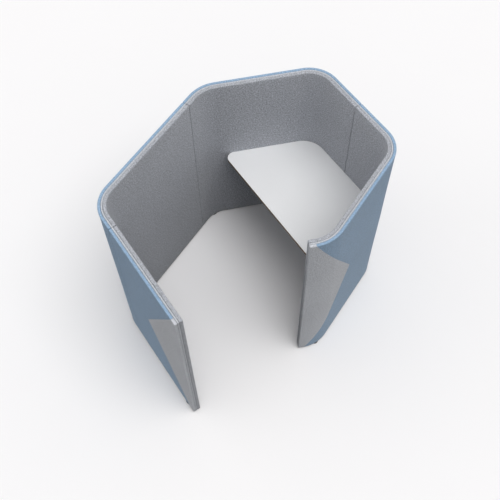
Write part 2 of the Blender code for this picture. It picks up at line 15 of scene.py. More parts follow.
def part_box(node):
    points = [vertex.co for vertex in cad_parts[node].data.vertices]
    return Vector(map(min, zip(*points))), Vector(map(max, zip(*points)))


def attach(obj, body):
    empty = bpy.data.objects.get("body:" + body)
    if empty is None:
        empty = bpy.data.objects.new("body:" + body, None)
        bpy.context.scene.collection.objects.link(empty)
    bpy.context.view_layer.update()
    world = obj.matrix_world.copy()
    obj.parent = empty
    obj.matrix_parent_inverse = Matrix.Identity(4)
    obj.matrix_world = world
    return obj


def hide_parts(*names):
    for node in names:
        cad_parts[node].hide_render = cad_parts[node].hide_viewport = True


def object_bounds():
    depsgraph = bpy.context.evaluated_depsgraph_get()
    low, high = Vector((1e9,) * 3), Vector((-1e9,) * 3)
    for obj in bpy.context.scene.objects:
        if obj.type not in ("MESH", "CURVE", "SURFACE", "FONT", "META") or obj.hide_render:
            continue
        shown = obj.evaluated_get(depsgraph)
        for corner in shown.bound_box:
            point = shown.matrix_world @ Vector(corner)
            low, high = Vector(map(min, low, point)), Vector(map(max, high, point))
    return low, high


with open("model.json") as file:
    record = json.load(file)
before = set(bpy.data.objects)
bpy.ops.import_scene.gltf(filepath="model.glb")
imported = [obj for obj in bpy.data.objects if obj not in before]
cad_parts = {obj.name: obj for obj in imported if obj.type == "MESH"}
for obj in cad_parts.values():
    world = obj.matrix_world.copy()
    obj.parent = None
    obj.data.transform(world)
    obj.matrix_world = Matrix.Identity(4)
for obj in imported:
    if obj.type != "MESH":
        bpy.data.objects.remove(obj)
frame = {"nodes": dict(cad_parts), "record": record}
cad_low, cad_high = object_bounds()

# Plan of the outer face, between the sharp corners before they are rounded
BACK = 0.806
SHOULDER = 0.822
SIDE = 1.0855
FRONT = 0.942
RETURN = 0.145
TIGHT_RADIUS = 0.21
WIDE_RADIUS = 0.245
LEGS = (
    (-22.5, RETURN, WIDE_RADIUS),
    (22.5, SHOULDER, TIGHT_RADIUS),
    (90.0, BACK, TIGHT_RADIUS),
    (157.5, SHOULDER, WIDE_RADIUS),
    (202.5, SIDE, TIGHT_RADIUS),
    (270.0, FRONT, 0.0),
)
DEPTH = (SHOULDER + SIDE) * math.cos(math.radians(22.5))

# Layers of the wall by depth, heights and seams, as the frame has them
WALL = 0.056
OUTER_PAD = 0.020
CORE = 0.012
TOP = cad_high.z
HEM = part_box("left_side_outer_pad")[0].z
GAP = 0.0003
LEFT_SEAM = 0.175
FRONT_SEAM = 0.22
MODULE_GAP = 0.003
PATCH_STRIP = 0.040
PATCH_SLOPE = math.radians(60)

# Cloth and foam
SOFT_EDGE = 0.0055
CORE_EDGE = 0.0028
BUTT_EDGE = 0.0058
SEAM_EDGE = 0.0014
PAD_PITCH = 0.013
RELAX = 0.0009
FOAM_PRESS = 4.0
FOAM_SWELL = 0.0012
HELD_EDGE = 0.016
CALM_EDGE = 0.04
BACK_SPAN = 6
SETTLE_FRAMES = 20

# Rim: the band's depth and section (share of its half width, drop), its gathers, and the stitches
RIM_BAND = 0.012
BAND_SINK = 0.0007
BAND_STEP = 0.0028
BAND_SECTION = (
    (-0.94, -RIM_BAND), (-0.94, -0.0050), (-0.88, -0.0026), (-0.74, -0.0010), (-0.40, -0.0002), (0.0, 0.0),
    (0.40, -0.0002), (0.74, -0.0010), (0.88, -0.0026), (0.94, -0.0050), (0.94, -RIM_BAND),
)
GATHER_STEP = 0.011
GATHER_HEIGHT = 0.00035
STITCH_STEP = 0.0075
STITCH_SHARE = 0.62
STITCH_ROW = 0.0040
STITCH_RINGS = ((-0.5, 0.00012), (-0.34, 0.00042), (0.34, 0.00042), (0.5, 0.00012))

# Screws under the worktop's angles: where they sit, and a turned profile of radius, drop and lobes
SIDE_ANGLE = 0.36
SIDE_ANGLE_PLACE = 0.40
BACK_ANGLE = 0.40
ANGLE_STEEL = 0.003
SCREW_SHARE = 0.30
SCREW_DEPTH = WALL + 0.031
SCREW_SIDES = 24
SCREW_PROFILE = ((0.0016, -0.0120, 0.0), (0.0016, 0.0, 0.0), (0.0040, 0.0, 0.0), (0.0040, 0.0006, 0.0),
                 (0.0037, 0.0013, 0.0), (0.0030, 0.0019, 0.0), (0.0022, 0.0021, 0.0),
                 (0.0014, 0.0022, 0.5), (0.0009, 0.0009, 0.5))

# Camera: place, turn, pitch and roll in degrees, and lens in millimetres
CAMERA_PLACE = (2.2692, DEPTH / 2 - 2.3465, 5.046)
CAMERA_TURN = 56.734
CAMERA_PITCH = 59.51
CAMERA_ROLL = 1.02
CAMERA_LENS = 54.57
CAMERA_SENSOR = 36.0

# Light: the sky above its rise, what comes from below the horizon, the backdrop as the camera sees it,
# and the lamps (name, share, width in degrees, direction towards it)
SKY = 0.60
SKY_RISE = 0.05
BOUNCE = 0.02
BACKDROP = 0.95
LAMPS = (("overhead", 0.45, 42, (0.36, 0.10, 1.0)), ("fill", 0.12, 40, (-0.45, -0.88, 0.20)))
FLOOR_REACH = 60.0
FLOOR_SIDES = 96

SCREEN = "screen"


# ---------------------------------------------------------------- plan of the wall

def unit(degrees):
    """Plan direction at an angle."""
    return Vector((math.cos(math.radians(degrees)), math.sin(math.radians(degrees))))


def lay_out_wall():
    """Straight and round runs of the outer face, and the distance at which each leg would start."""
    point = Vector((BACK / 2, DEPTH / 2)) - unit(112.5) * SHOULDER - unit(67.5) * RETURN
    along = 0.0
    trimmed = 0.0
    runs = []
    starts = []
    for index, (normal, length, radius) in enumerate(LEGS):
        last = index == len(LEGS) - 1
        turn = 0.0 if last else LEGS[index + 1][0] - normal
        trim = radius * math.tan(math.radians(turn) / 2)
        starts.append(along - trimmed)
        straight = length - trimmed - trim
        runs.append((along, along + straight, point.copy(), normal, 0.0))
        along += straight
        point = point + unit(normal + 90) * straight
        if last:
            break
        arc = radius * math.radians(turn)
        runs.append((along, along + arc, point - unit(normal) * radius, normal, radius))
        point = point - unit(normal) * radius + unit(normal + turn) * radius
        along += arc
        trimmed = trim
    return runs, starts


RUNS, LEG_START = lay_out_wall()
WALL_LENGTH = RUNS[-1][1]
BACK_SEAM = LEG_START[2] + BACK / 2
SEAMS = (BACK_SEAM, LEG_START[4] + LEFT_SEAM, LEG_START[5] + FRONT_SEAM)
MODULES = (
    ("right_wing", 0.0, SEAMS[0] - MODULE_GAP / 2),
    ("left_wing", SEAMS[0] + MODULE_GAP / 2, SEAMS[1] - MODULE_GAP / 2),
    ("left_side", SEAMS[1] + MODULE_GAP / 2, SEAMS[2] - MODULE_GAP / 2),
    ("front_flap", SEAMS[2] + MODULE_GAP / 2, WALL_LENGTH),
)
ANGLES = (
    ("left", LEG_START[3] + SIDE_ANGLE_PLACE, SIDE_ANGLE),
    ("right", LEG_START[1] + SHOULDER - SIDE_ANGLE_PLACE, SIDE_ANGLE),
    ("back", BACK_SEAM, BACK_ANGLE),
)


def wall_place(along, depth, height):
    """Point in the room for a distance along the wall, a depth and a height."""
    for start, end, point, normal, radius in RUNS:
        if along <= end or end == WALL_LENGTH:
            break
    if radius:
        spoke = unit(normal + math.degrees((along - start) / radius))
        place = point + spoke * (radius - depth)
    else:
        place = point + unit(normal + 90) * (along - start) - unit(normal) * depth
    return Vector((place.x, place.y, height))


# ---------------------------------------------------------------- meshes

def link(name, mesh, *materials):
    """Object of a finished mesh, shaded smooth."""
    made = bpy.data.objects.new(name, mesh)
    bpy.context.scene.collection.objects.link(made)
    for material in materials:
        mesh.materials.append(material)
    mesh.shade_smooth()
    return made


def mesh_of(name, points, faces, cloth_map=None):
    """Mesh with its faces turned outwards; cloth_map gives each point its place on the cloth."""
    mesh = bpy.data.meshes.new(name)
    mesh.from_pydata([tuple(p) for p in points], [], faces)
    bm = bmesh.new()
    bm.from_mesh(mesh)
    bmesh.ops.recalc_face_normals(bm, faces=bm.faces)
    bm.to_mesh(mesh)
    bm.free()
    if cloth_map is not None:
        layer = mesh.uv_layers.new(name="cloth")
        for loop in mesh.loops:
            layer.data[loop.index].uv = cloth_map[loop.vertex_index]
    return mesh


def graded(length, pitch, near, far):
    """Distances across a pad, close together where its two edges are rounded."""
    shares = (0.0, 0.423, 0.732, 1.0)
    count = max(1, round((length - near - far) / pitch))
    inner = [near + (length - near - far) * k / count for k in range(1, count)]
    return [s * near for s in shares] + inner + [length - s * far for s in reversed(shares)]


def relaxed(along, height):
    """How far the cover stands off its foam: broad and slight."""
    here = Vector((along * 2.6, height * 2.1, 4.0))
    fine = Vector((along * 9.0, height * 7.0, 9.0))
    return RELAX * (noise.noise(here) + 0.35 * noise.noise(fine))


def soft_pad(name, left, right, edges, face, back, material):
    """Upholstered panel, closed all round, with rounded edges and a slightly slack cover.

    left and right give the panel's ends at a height; edges are the radii of its left and right ends.
    """
    middle = (HEM + TOP) / 2
    sign = 1.0 if back > face else -1.0
    thick = abs(back - face)
    width = right(middle) - left(middle)
    columns = graded(width, PAD_PITCH, edges[0], edges[1])
    rows = graded(TOP - HEM, PAD_PITCH, SOFT_EDGE, SOFT_EDGE)
    layers = graded(thick, thick, SOFT_EDGE, CORE_EDGE)
    last = (len(columns) - 1, len(rows) - 1, len(layers) - 1)
    index = {}
    points = []
    cloth = []
    free = []

    def vertex(i, j, k):
        key = (i, j, k)
        if key not in index:
            index[key] = len(points)
            a, b = columns[i], width - columns[i]
            h, t = rows[j], TOP - HEM - rows[j]
            f, g = layers[k], thick - layers[k]
            side = edges[0] if a < b else edges[1]
            across = max(0.0, 1 - min(a, b) / side)
            upright = max(0.0, 1 - min(h, t) / SOFT_EDGE)
            round_face = side if across > 0 and upright == 0 else SOFT_EDGE
            limit = round_face if f < g else CORE_EDGE
            deep = max(0.0, 1 - min(f, g) / limit)
            size = max(1.0, math.sqrt(across ** 2 + upright ** 2 + deep ** 2))
            pull = (side * (across - across / size), SOFT_EDGE * (upright - upright / size),
                    limit * (deep - deep / size))
            height = HEM + h + (pull[1] if h < t else -pull[1])
            depth = f + (pull[2] if f < g else -pull[2])
            start, end = left(height), right(height)
            scale = (end - start - edges[0] - edges[1]) / (width - edges[0] - edges[1])
            if a <= edges[0]:
                along = start + a
            elif b <= edges[1]:
                along = end - b
            else:
                along = start + edges[0] + (a - edges[0]) * scale
            cloth.append((along + (-f if i == 0 else f if i == last[0] else 0.0),
                          HEM + h + (f if j == last[1] else -f if j == 0 else 0.0)))
            along += pull[0] if a < b else -pull[0]
            calm = min(1.0, min(a, b, h, t) / CALM_EDGE)
            stand = relaxed(along, height) * calm - FOAM_SWELL if k == 0 else 0.0
            points.append(wall_place(along, face + sign * (depth - stand), height))
            if k == 0 and min(a, b, h, t) > HELD_EDGE:
                free.append(index[key])
        return index[key]

    faces = []
    for i in range(last[0]):
        for j in range(last[1]):
            corners = ((i, j), (i + 1, j), (i + 1, j + 1), (i, j + 1))
            faces.append([vertex(x, y, 0) for x, y in corners])
    for k in range(last[2]):
        for j in (0, last[1]):
            faces += [[vertex(i, j, k), vertex(i + 1, j, k), vertex(i + 1, j, k + 1), vertex(i, j, k + 1)]
                      for i in range(last[0])]
        for i in (0, last[0]):
            faces += [[vertex(i, j, k), vertex(i, j + 1, k), vertex(i, j + 1, k + 1), vertex(i, j, k + 1)]
                      for j in range(last[1])]
    coarse = list(range(0, last[1], BACK_SPAN)) + [last[1]]
    for low, high in zip(coarse, coarse[1:]):
        for i in range(last[0]):
            near = range(low, high + 1) if i == 0 else (low, high)
            far = range(low, high + 1) if i + 1 == last[0] else (low, high)
            faces.append([vertex(i, j, last[2]) for j in near] +
                         [vertex(i + 1, j, last[2]) for j in reversed(far)])
    made = link(name, mesh_of(name, points, faces, cloth), material)
    settle(made, free)
    return made


def settle(made, free):
    """Cloth simulation of a cover that its foam presses out: only its free points move, a little."""
    mesh = made.data
    count = len(mesh.vertices)
    held = made.vertex_groups.new(name="held")
    held.add(sorted(set(range(count)) - set(free)), 1.0, "REPLACE")
    cover = made.modifiers.new("cover", "CLOTH")
    cover.settings.quality = 3
    cover.settings.mass = 0.35
    cover.settings.vertex_group_mass = "held"
    cover.settings.use_pressure = True
    cover.settings.uniform_pressure_force = FOAM_PRESS
    cover.settings.effector_weights.gravity = 0.0
    cover.collision_settings.use_collision = False
    for step in range(1, SETTLE_FRAMES + 1):
        bpy.context.scene.frame_set(step)
    settled = made.evaluated_get(bpy.context.evaluated_depsgraph_get()).data
    places = [v.co.copy() for v in settled.vertices]
    for index in free:
        point = mesh.vertices[index]
        move = places[index] - point.co
        point.co += move * min(1.0, FOAM_SWELL / max(move.length, 0.000001))
    made.modifiers.remove(cover)
    made.vertex_groups.remove(held)
    bpy.context.scene.frame_set(1)


def patch_edge(height):
    """How far the patch reaches from the wall's free end at a height."""
    middle = (TOP + HEM) / 2
    return PATCH_STRIP + ((TOP - HEM) / 2 - abs(height - middle)) / math.tan(PATCH_SLOPE)


def build_pads(finish):
    """Outer and inner pads of the four modules, and the light patches at the two free ends."""
    skip = GAP / math.sin(PATCH_SLOPE)
    outer_back = OUTER_PAD - GAP / 2
    inner_back = OUTER_PAD + CORE + GAP / 2
    made = []
    for name, start, end in MODULES:
        left, right = (lambda z, s=start: s), (lambda z, e=end: e)
        edges = [BUTT_EDGE, BUTT_EDGE]
        inner_edges = [SOFT_EDGE if start == 0.0 else BUTT_EDGE,
                       SOFT_EDGE if end == WALL_LENGTH else BUTT_EDGE]
        if start == 0.0:
            left, edges[0] = (lambda z: patch_edge(z) + skip), SEAM_EDGE
        if end == WALL_LENGTH:
            right, edges[1] = (lambda z: WALL_LENGTH - patch_edge(z) - skip), SEAM_EDGE
        made.append(soft_pad(f"{name}_outer_cover", left, right, edges, 0.0, outer_back,
                             finish["blue_wool"]))
        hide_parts(f"{name}_outer_pad")
        made.append(soft_pad(f"{name}_inner_cover", lambda z, s=start: s, lambda z, e=end: e, inner_edges,
                             WALL, inner_back, finish["grey_wool"]))
        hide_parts(f"{name}_inner_pad")
    made.append(soft_pad("right_wing_patch_cover", lambda z: 0.0, patch_edge, (SOFT_EDGE, SEAM_EDGE),
                         0.0, outer_back, finish["light_wool"]))
    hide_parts("right_wing_patch")
    made.append(soft_pad("front_flap_patch_cover", lambda z: WALL_LENGTH - patch_edge(z),
                         lambda z: WALL_LENGTH, (SEAM_EDGE, SOFT_EDGE), 0.0, outer_back,
                         finish["light_wool"]))
    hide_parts("front_flap_patch")
    for pad in made:
        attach(pad, SCREEN)


# ---------------------------------------------------------------- rim bands and their stitches

def rim_route(start, end):
    """Route of a band in the flat layout: along the rim, and down a free end round a small corner."""
    bend = SOFT_EDGE
    route = []
    if start == 0.0:
        outward = Vector((-1.0, 0.0))
        route += [(Vector((0.0, HEM)), outward), (Vector((0.0, TOP - bend)), outward)]
        route += [(Vector((bend, TOP - bend)) + unit(a) * bend, unit(a)) for a in (157.5, 135, 112.5, 90)]
    else:
        route.append((Vector((start, TOP)), Vector((0.0, 1.0))))
    if end == WALL_LENGTH:
        outward = Vector((1.0, 0.0))
        route += [(Vector((end - bend, TOP - bend)) + unit(a) * bend, unit(a)) for a in (90, 67.5, 45, 22.5)]
        route += [(Vector((end, TOP - bend)), outward), (Vector((end, HEM)), outward)]
    else:
        route.append((Vector((end, TOP)), Vector((0.0, 1.0))))
    return route


def walk(route, step):
    """Places along a route at even steps: distance, place, outward direction and heading."""
    travelled = 0.0
    for (p0, n0), (p1, n1) in zip(route, route[1:]):
        length = (p1 - p0).length
        if length < 0.00001:
            continue
        count = max(1, round(length / step))
        ahead = (p1 - p0) / length
        for k in range(count):
            share = k / count
            yield travelled + length * share, p0.lerp(p1, share), n0.lerp(n1, share).normalized(), ahead
        travelled += length
    yield travelled, route[-1][0], route[-1][1], (route[-1][0] - route[-2][0]).normalized()


def pucker(travelled, phase):
    """Small gathers of the cloth along a seam, in metres."""
    wander = 2.2 * noise.noise(Vector((travelled * 23, phase, 0)))
    wave = math.sin(travelled * 2 * math.pi / GATHER_STEP + wander)
    return GATHER_HEIGHT * wave * (0.6 + 0.8 * noise.noise(Vector((travelled * 9, phase, 5.0))))


def rim_band(name, start, end, material):
    """Cloth-covered strip between the two pads: crowned, and gathered a little at its seams."""
    low, high = OUTER_PAD + GAP / 2, OUTER_PAD + CORE - GAP / 2
    half = (high - low) / 2
    points = []
    cloth = []
    for travelled, place, out, _ in walk(rim_route(start, end), BAND_STEP):
        for across, drop in BAND_SECTION:
            lift = pucker(travelled, across) * (1.5 if 0.3 < abs(across) < 0.95 else 0.4)
            at = place + out * (drop - BAND_SINK + (lift if drop > -0.01 else 0.0))
            points.append(wall_place(at.x, (low + high) / 2 + across * half, at.y))
            cloth.append((travelled, across * half * 1.6))
    ring = len(BAND_SECTION)
    count = len(points) // ring
    faces = []
    for first in range(0, (count - 1) * ring, ring):
        for k in range(ring):
            after = first + (k + 1) % ring
            faces.append([first + k, first + ring + k, ring + after, after])
    faces += [list(range(ring)), list(range((count - 1) * ring, count * ring))]
    return link(name, mesh_of(name, points, faces, cloth), material)


def stitches(name, start, end, material):
    """Two rows of short raised stitches that hold a rim band to the covers."""
    middle = OUTER_PAD + CORE / 2
    points = []
    faces = []
    for side in (-1, 1):
        for travelled, place, out, ahead in walk(rim_route(start, end), STITCH_STEP):
            slack = noise.noise(Vector((travelled * 60, side, 2.0)))
            base = place + out * (-BAND_SINK - 0.0003)
            first = len(points)
            for share, thick in STITCH_RINGS:
                centre = base + ahead * (share * STITCH_STEP * STITCH_SHARE)
                centre += out * (0.0005 * (1 - 4 * share * share))
                depth = middle + side * (STITCH_ROW + 0.0003 * slack) + share * 0.0011 * side
                for x, y in ((1, 0), (0, 1), (-1, 0), (0, -1)):
                    at = centre + out * (y * thick)
                    points.append(wall_place(at.x, depth + x * thick, at.y))
            for ring in range(3):
                for k in range(4):
                    a, b = first + ring * 4 + k, first + ring * 4 + (k + 1) % 4
                    faces.append([a, b, b + 4, a + 4])
            faces += [[cap, cap + 1, cap + 2, cap + 3] for cap in (first, first + 12)]
    return link(name, mesh_of(name, points, faces), material)


def build_rim(finish):
    """Bands and stitches of the four modules."""
    for name, start, end in MODULES:
        band = rim_band(f"{name}_edge_band", start, end, finish["light_wool"])
        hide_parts(f"{name}_rim_band")
        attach(band, SCREEN)
        thread = stitches(f"{name}_stitching", start, end, finish["thread"])
        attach(thread, SCREEN)


# ---------------------------------------------------------------- shader nodes

def add(tree, kind, inputs=None, **settings):
    """Node with its settings; an input is a socket to link or a value to set."""
    made = tree.nodes.new(kind)
    for key, value in settings.items():
        setattr(made, key, value)
    for key, value in (inputs or {}).items():
        socket = made.inputs[key]
        if isinstance(value, bpy.types.NodeSocket):
            tree.links.new(value, socket)
        else:
            socket.default_value = value
    return made


def sums(tree, operation, *values):
    """Output of a Math node."""
    return add(tree, "ShaderNodeMath", dict(enumerate(values)), operation=operation).outputs[0]


def blend(tree, share, first, second, kind="MIX"):
    """Colour output of a Mix node."""
    made = add(tree, "ShaderNodeMix", data_type="RGBA", blend_type=kind)
    for socket, value in ((made.inputs[0], share), (made.inputs[6], first), (made.inputs[7], second)):
        if isinstance(value, bpy.types.NodeSocket):
            tree.links.new(value, socket)
        else:
            socket.default_value = value
    return made.outputs[2]


def spread(tree, value, low, high, to_low=0.0, to_high=1.0):
    """Output of a Map Range node."""
    return add(tree, "ShaderNodeMapRange", {0: value, 1: low, 2: high, 3: to_low, 4: to_high}).outputs[0]


def clouds(tree, vector, scale, detail=2.0, roughness=0.5):
    """Factor output of a Noise Texture."""
    made = add(tree, "ShaderNodeTexNoise", {"Vector": vector, "Scale": scale, "Detail": detail,
                                           "Roughness": roughness})
    return made.outputs["Fac"]


def group(name, inputs, outputs):
    """Empty shader node group with named inputs and outputs: the tree, its inputs and its output node."""
    tree = bpy.data.node_groups.new(name, "ShaderNodeTree")
    for label, kind, value in inputs:
        socket = tree.interface.new_socket(label, in_out="INPUT", socket_type=f"NodeSocket{kind}")
        if value is not None:
            socket.default_value = value
    for label, kind in outputs:
        tree.interface.new_socket(label, in_out="OUTPUT", socket_type=f"NodeSocket{kind}")
    return tree, tree.nodes.new("NodeGroupInput").outputs, tree.nodes.new("NodeGroupOutput")


def woven_wool_group():
    """Plain weave of heathered wool yarn: each yarn has its own tone, with pale and dark fibres, and painted
    shade between the threads.
    """
    tree, given, out = group(
        "woven_wool",
        (("Place", "Vector", None), ("Threads per metre", "Float", 620.0), ("Mottle", "Float", 0.2),
         ("Dark yarn", "Color", None), ("Light yarn", "Color", None), ("Pale fibre", "Color", None)),
        (("Color", "Color"), ("Height", "Float"), ("Roughness", "Float")))
    wander = add(tree, "ShaderNodeTexNoise", {"Vector": given["Place"], "Scale": 35.0, "Detail": 1.0})
    drift = add(tree, "ShaderNodeVectorMath", {0: wander.outputs["Color"], 1: (0.0016, 0.0016, 0.0)},
                operation="MULTIPLY")
    bent = add(tree, "ShaderNodeVectorMath", {0: given["Place"], 1: drift.outputs[0]}, operation="ADD")
    fine = add(tree, "ShaderNodeVectorMath", {0: bent.outputs[0], "Scale": given["Threads per metre"]},
               operation="SCALE")
    axes = add(tree, "ShaderNodeSeparateXYZ", {0: fine.outputs[0]})
    x, y = axes.outputs[0], axes.outputs[1]
    cell_x, cell_y = sums(tree, "FLOOR", x), sums(tree, "FLOOR", y)
    part_x, part_y = sums(tree, "FRACT", x), sums(tree, "FRACT", y)
    over = sums(tree, "PINGPONG", sums(tree, "ADD", cell_x, cell_y), 1.0)
    round_x = sums(tree, "SINE", sums(tree, "MULTIPLY", part_x, math.pi))
    round_y = sums(tree, "SINE", sums(tree, "MULTIPLY", part_y, math.pi))
    warp = sums(tree, "MULTIPLY", round_x, spread(tree, round_y, 0.0, 1.0, 0.55, 1.0))
    weft = sums(tree, "MULTIPLY", round_y, spread(tree, round_x, 0.0, 1.0, 0.55, 1.0))
    weave = add(tree, "ShaderNodeMix", {0: over, 2: warp, 3: weft}, data_type="FLOAT").outputs[0]

    warp_id = add(tree, "ShaderNodeCombineXYZ", {0: cell_x, 1: sums(tree, "MULTIPLY", y, 0.11), 2: 3.0})
    weft_id = add(tree, "ShaderNodeCombineXYZ", {0: sums(tree, "MULTIPLY", x, 0.11), 1: cell_y, 2: 8.0})
    warp_tone = clouds(tree, warp_id.outputs[0], 0.83, 2.0)
    weft_tone = clouds(tree, weft_id.outputs[0], 0.83, 2.0)
    tone = add(tree, "ShaderNodeMix", {0: over, 2: warp_tone, 3: weft_tone}, data_type="FLOAT").outputs[0]
    tone = spread(tree, tone, 0.34, 0.66)
    patchy = spread(tree, clouds(tree, given["Place"], 190.0, 3.0, 0.62), 0.34, 0.66)
    fibre = clouds(tree, given["Place"], 2400.0, 2.0, 0.6)
    heather = spread(tree, sums(tree, "ADD", sums(tree, "MULTIPLY", tone, 0.55),
                                sums(tree, "MULTIPLY", patchy, 0.45)), 0.12, 0.88)
    colour = blend(tree, heather, given["Dark yarn"], given["Light yarn"])
    pale = spread(tree, clouds(tree, fine.outputs[0], 0.9, 1.0), 0.60, 0.72)
    colour = blend(tree, sums(tree, "MULTIPLY", pale, 0.5), colour, given["Pale fibre"])
    mottled = spread(tree, clouds(tree, given["Place"], 105.0, 3.0, 0.75), 0.34, 0.66,
                     sums(tree, "SUBTRACT", 1.0, given["Mottle"]), sums(tree, "ADD", 1.0, given["Mottle"]))
    # Painted shade: the colour darkens where the threads dip between crossings and lightens a little on
    # their tops, times a random mottle
    painted_weave_shade_and_mottle = sums(tree, "MULTIPLY", spread(tree, weave, 0.0, 0.75, 0.80, 1.03), mottled)
    grey = add(tree, "ShaderNodeCombineXYZ", {0: painted_weave_shade_and_mottle, 1: painted_weave_shade_and_mottle, 2: painted_weave_shade_and_mottle}).outputs[0]
    colour = blend(tree, 1.0, colour, grey, "MULTIPLY")
    height = sums(tree, "ADD", weave, sums(tree, "MULTIPLY", fibre, 0.45))
    tree.links.new(colour, out.inputs["Color"])
    tree.links.new(height, out.inputs["Height"])
    tree.links.new(spread(tree, fibre, 0.3, 0.7, 0.86, 0.98), out.inputs["Roughness"])
    return tree


def soft_fading_group():
    """Broad, slight variation of tone, as in cloth or board that has been handled and aired."""
    tree, given, out = group(
        "soft_fading",
        (("Color", "Color", None), ("Place", "Vector", None), ("Scale", "Float", 3.0),
         ("Amount", "Float", 0.06)),
        (("Color", "Color"),))
    wide = clouds(tree, given["Place"], given["Scale"], 3.0, 0.55)
    mask = spread(tree, wide, 0.30, 0.70)
    lift = sums(tree, "MULTIPLY", sums(tree, "SUBTRACT", mask, 0.5), given["Amount"])
    gain = sums(tree, "ADD", 1.0, lift)
    grey = add(tree, "ShaderNodeCombineXYZ", {0: gain, 1: gain, 2: gain}).outputs[0]
    tree.links.new(blend(tree, 1.0, given["Color"], grey, "MULTIPLY"), out.inputs["Color"])
    return tree


def floor_dust_group():
    """Dust and scuffs that gather towards the floor, by the height and by noise."""
    tree, given, out = group(
        "floor_dust",
        (("Color", "Color", None), ("Place", "Vector", None), ("Reach", "Float", 0.09),
         ("Amount", "Float", 0.3)),
        (("Color", "Color"),))
    height = add(tree, "ShaderNodeSeparateXYZ", {0: given["Place"]}).outputs[2]
    low = sums(tree, "SUBTRACT", 1.0, sums(tree, "DIVIDE", height, given["Reach"]))
    patchy = spread(tree, clouds(tree, given["Place"], 26.0, 4.0, 0.6), 0.3, 0.75)
    amount = sums(tree, "MULTIPLY", patchy, given["Amount"])
    mask = sums(tree, "MULTIPLY", spread(tree, low, 0.0, 1.0), amount)
    tree.links.new(blend(tree, mask, given["Color"], (0.42, 0.40, 0.38, 1.0)), out.inputs["Color"])
    return tree


def handling_group():
    """Fine scratches and rubbed spots on a hard surface."""
    tree, given, out = group(
        "handling",
        (("Place", "Vector", None), ("Scratch scale", "Float", 60.0), ("Rub scale", "Float", 9.0)),
        (("Scratches", "Float"), ("Rubs", "Float"), ("Height", "Float")))
    stretch = add(tree, "ShaderNodeVectorMath", {0: given["Place"], 1: (1.0, 0.07, 0.4)},
                  operation="MULTIPLY")
    lines = clouds(tree, stretch.outputs[0], given["Scratch scale"], 5.0, 0.7)
    scratches = spread(tree, lines, 0.62, 0.70)
    rubs = spread(tree, clouds(tree, given["Place"], given["Rub scale"], 4.0, 0.6), 0.35, 0.70)
    tree.links.new(scratches, out.inputs["Scratches"])
    tree.links.new(rubs, out.inputs["Rubs"])
    tree.links.new(sums(tree, "MULTIPLY", scratches, -1.0), out.inputs["Height"])
    return tree


def use(tree, made, inputs):
    """Outputs of a shared node group placed in a material."""
    node = tree.nodes.new("ShaderNodeGroup")
    node.node_tree = made
    for key, value in inputs.items():
        if isinstance(value, bpy.types.NodeSocket):
            tree.links.new(value, node.inputs[key])
        else:
            node.inputs[key].default_value = value
    return node.outputs


def new_material(name, **constants):
    """Material with its Principled shader, the constants set on the shader itself."""
    made = bpy.data.materials.new(name)
    made.use_nodes = True
    tree = made.node_tree
    shader = tree.nodes["Principled BSDF"]
    for key, value in constants.items():
        shader.inputs[key.replace("_", " ")].default_value = value
    return made, tree, shader


def bump(tree, shader, height, distance, strength=1.0):
    """Bump of a height into the shader's normal."""
    made = add(tree, "ShaderNodeBump", {"Height": height, "Distance": distance, "Strength": strength})
    tree.links.new(made.outputs[0], shader.inputs["Normal"])


def wool(name, groups, dark, light, pale, mottle):
    """Heathered upholstery wool."""
    made, tree, shader = new_material(name, Sheen_Weight=0.22, Sheen_Roughness=0.55, Specular_IOR_Level=0.15)
    cloth = add(tree, "ShaderNodeUVMap", uv_map="cloth").outputs[0]
    room = add(tree, "ShaderNodeTexCoord").outputs["Object"]
    weave = use(tree, groups["woven_wool"], {"Place": cloth, "Mottle": mottle, "Dark yarn": (*dark, 1.0),
                                            "Light yarn": (*light, 1.0), "Pale fibre": (*pale, 1.0)})
    faded = use(tree, groups["soft_fading"], {"Color": weave["Color"], "Place": room, "Scale": 3.2,
                                              "Amount": 0.07})
    dusty = use(tree, groups["floor_dust"], {"Color": faded["Color"], "Place": room, "Reach": 0.07,
                                             "Amount": 0.22})
    tree.links.new(dusty["Color"], shader.inputs["Base Color"])
    tree.links.new(weave["Roughness"], shader.inputs["Roughness"])
    bump(tree, shader, weave["Height"], 0.0005, 0.8)
    return made


def thread_material():
    """Twisted sewing thread, with painted shade in the twist's grooves."""
    made, tree, shader = new_material("sewing_thread", Sheen_Weight=0.1, Specular_IOR_Level=0.3)
    room = add(tree, "ShaderNodeTexCoord").outputs["Object"]
    twist = add(tree, "ShaderNodeTexWave",
                {"Vector": room, "Scale": 900.0, "Distortion": 1.5}).outputs["Fac"]
    # Painted shade: the colour is darker where the twist's bump is low and lighter where it is high
    colour = blend(tree, twist, (0.40, 0.42, 0.45, 1.0), (0.62, 0.64, 0.67, 1.0))
    tree.links.new(colour, shader.inputs["Base Color"])
    tree.links.new(spread(tree, twist, 0.0, 1.0, 0.6, 0.8), shader.inputs["Roughness"])
    bump(tree, shader, twist, 0.0002)
    return made


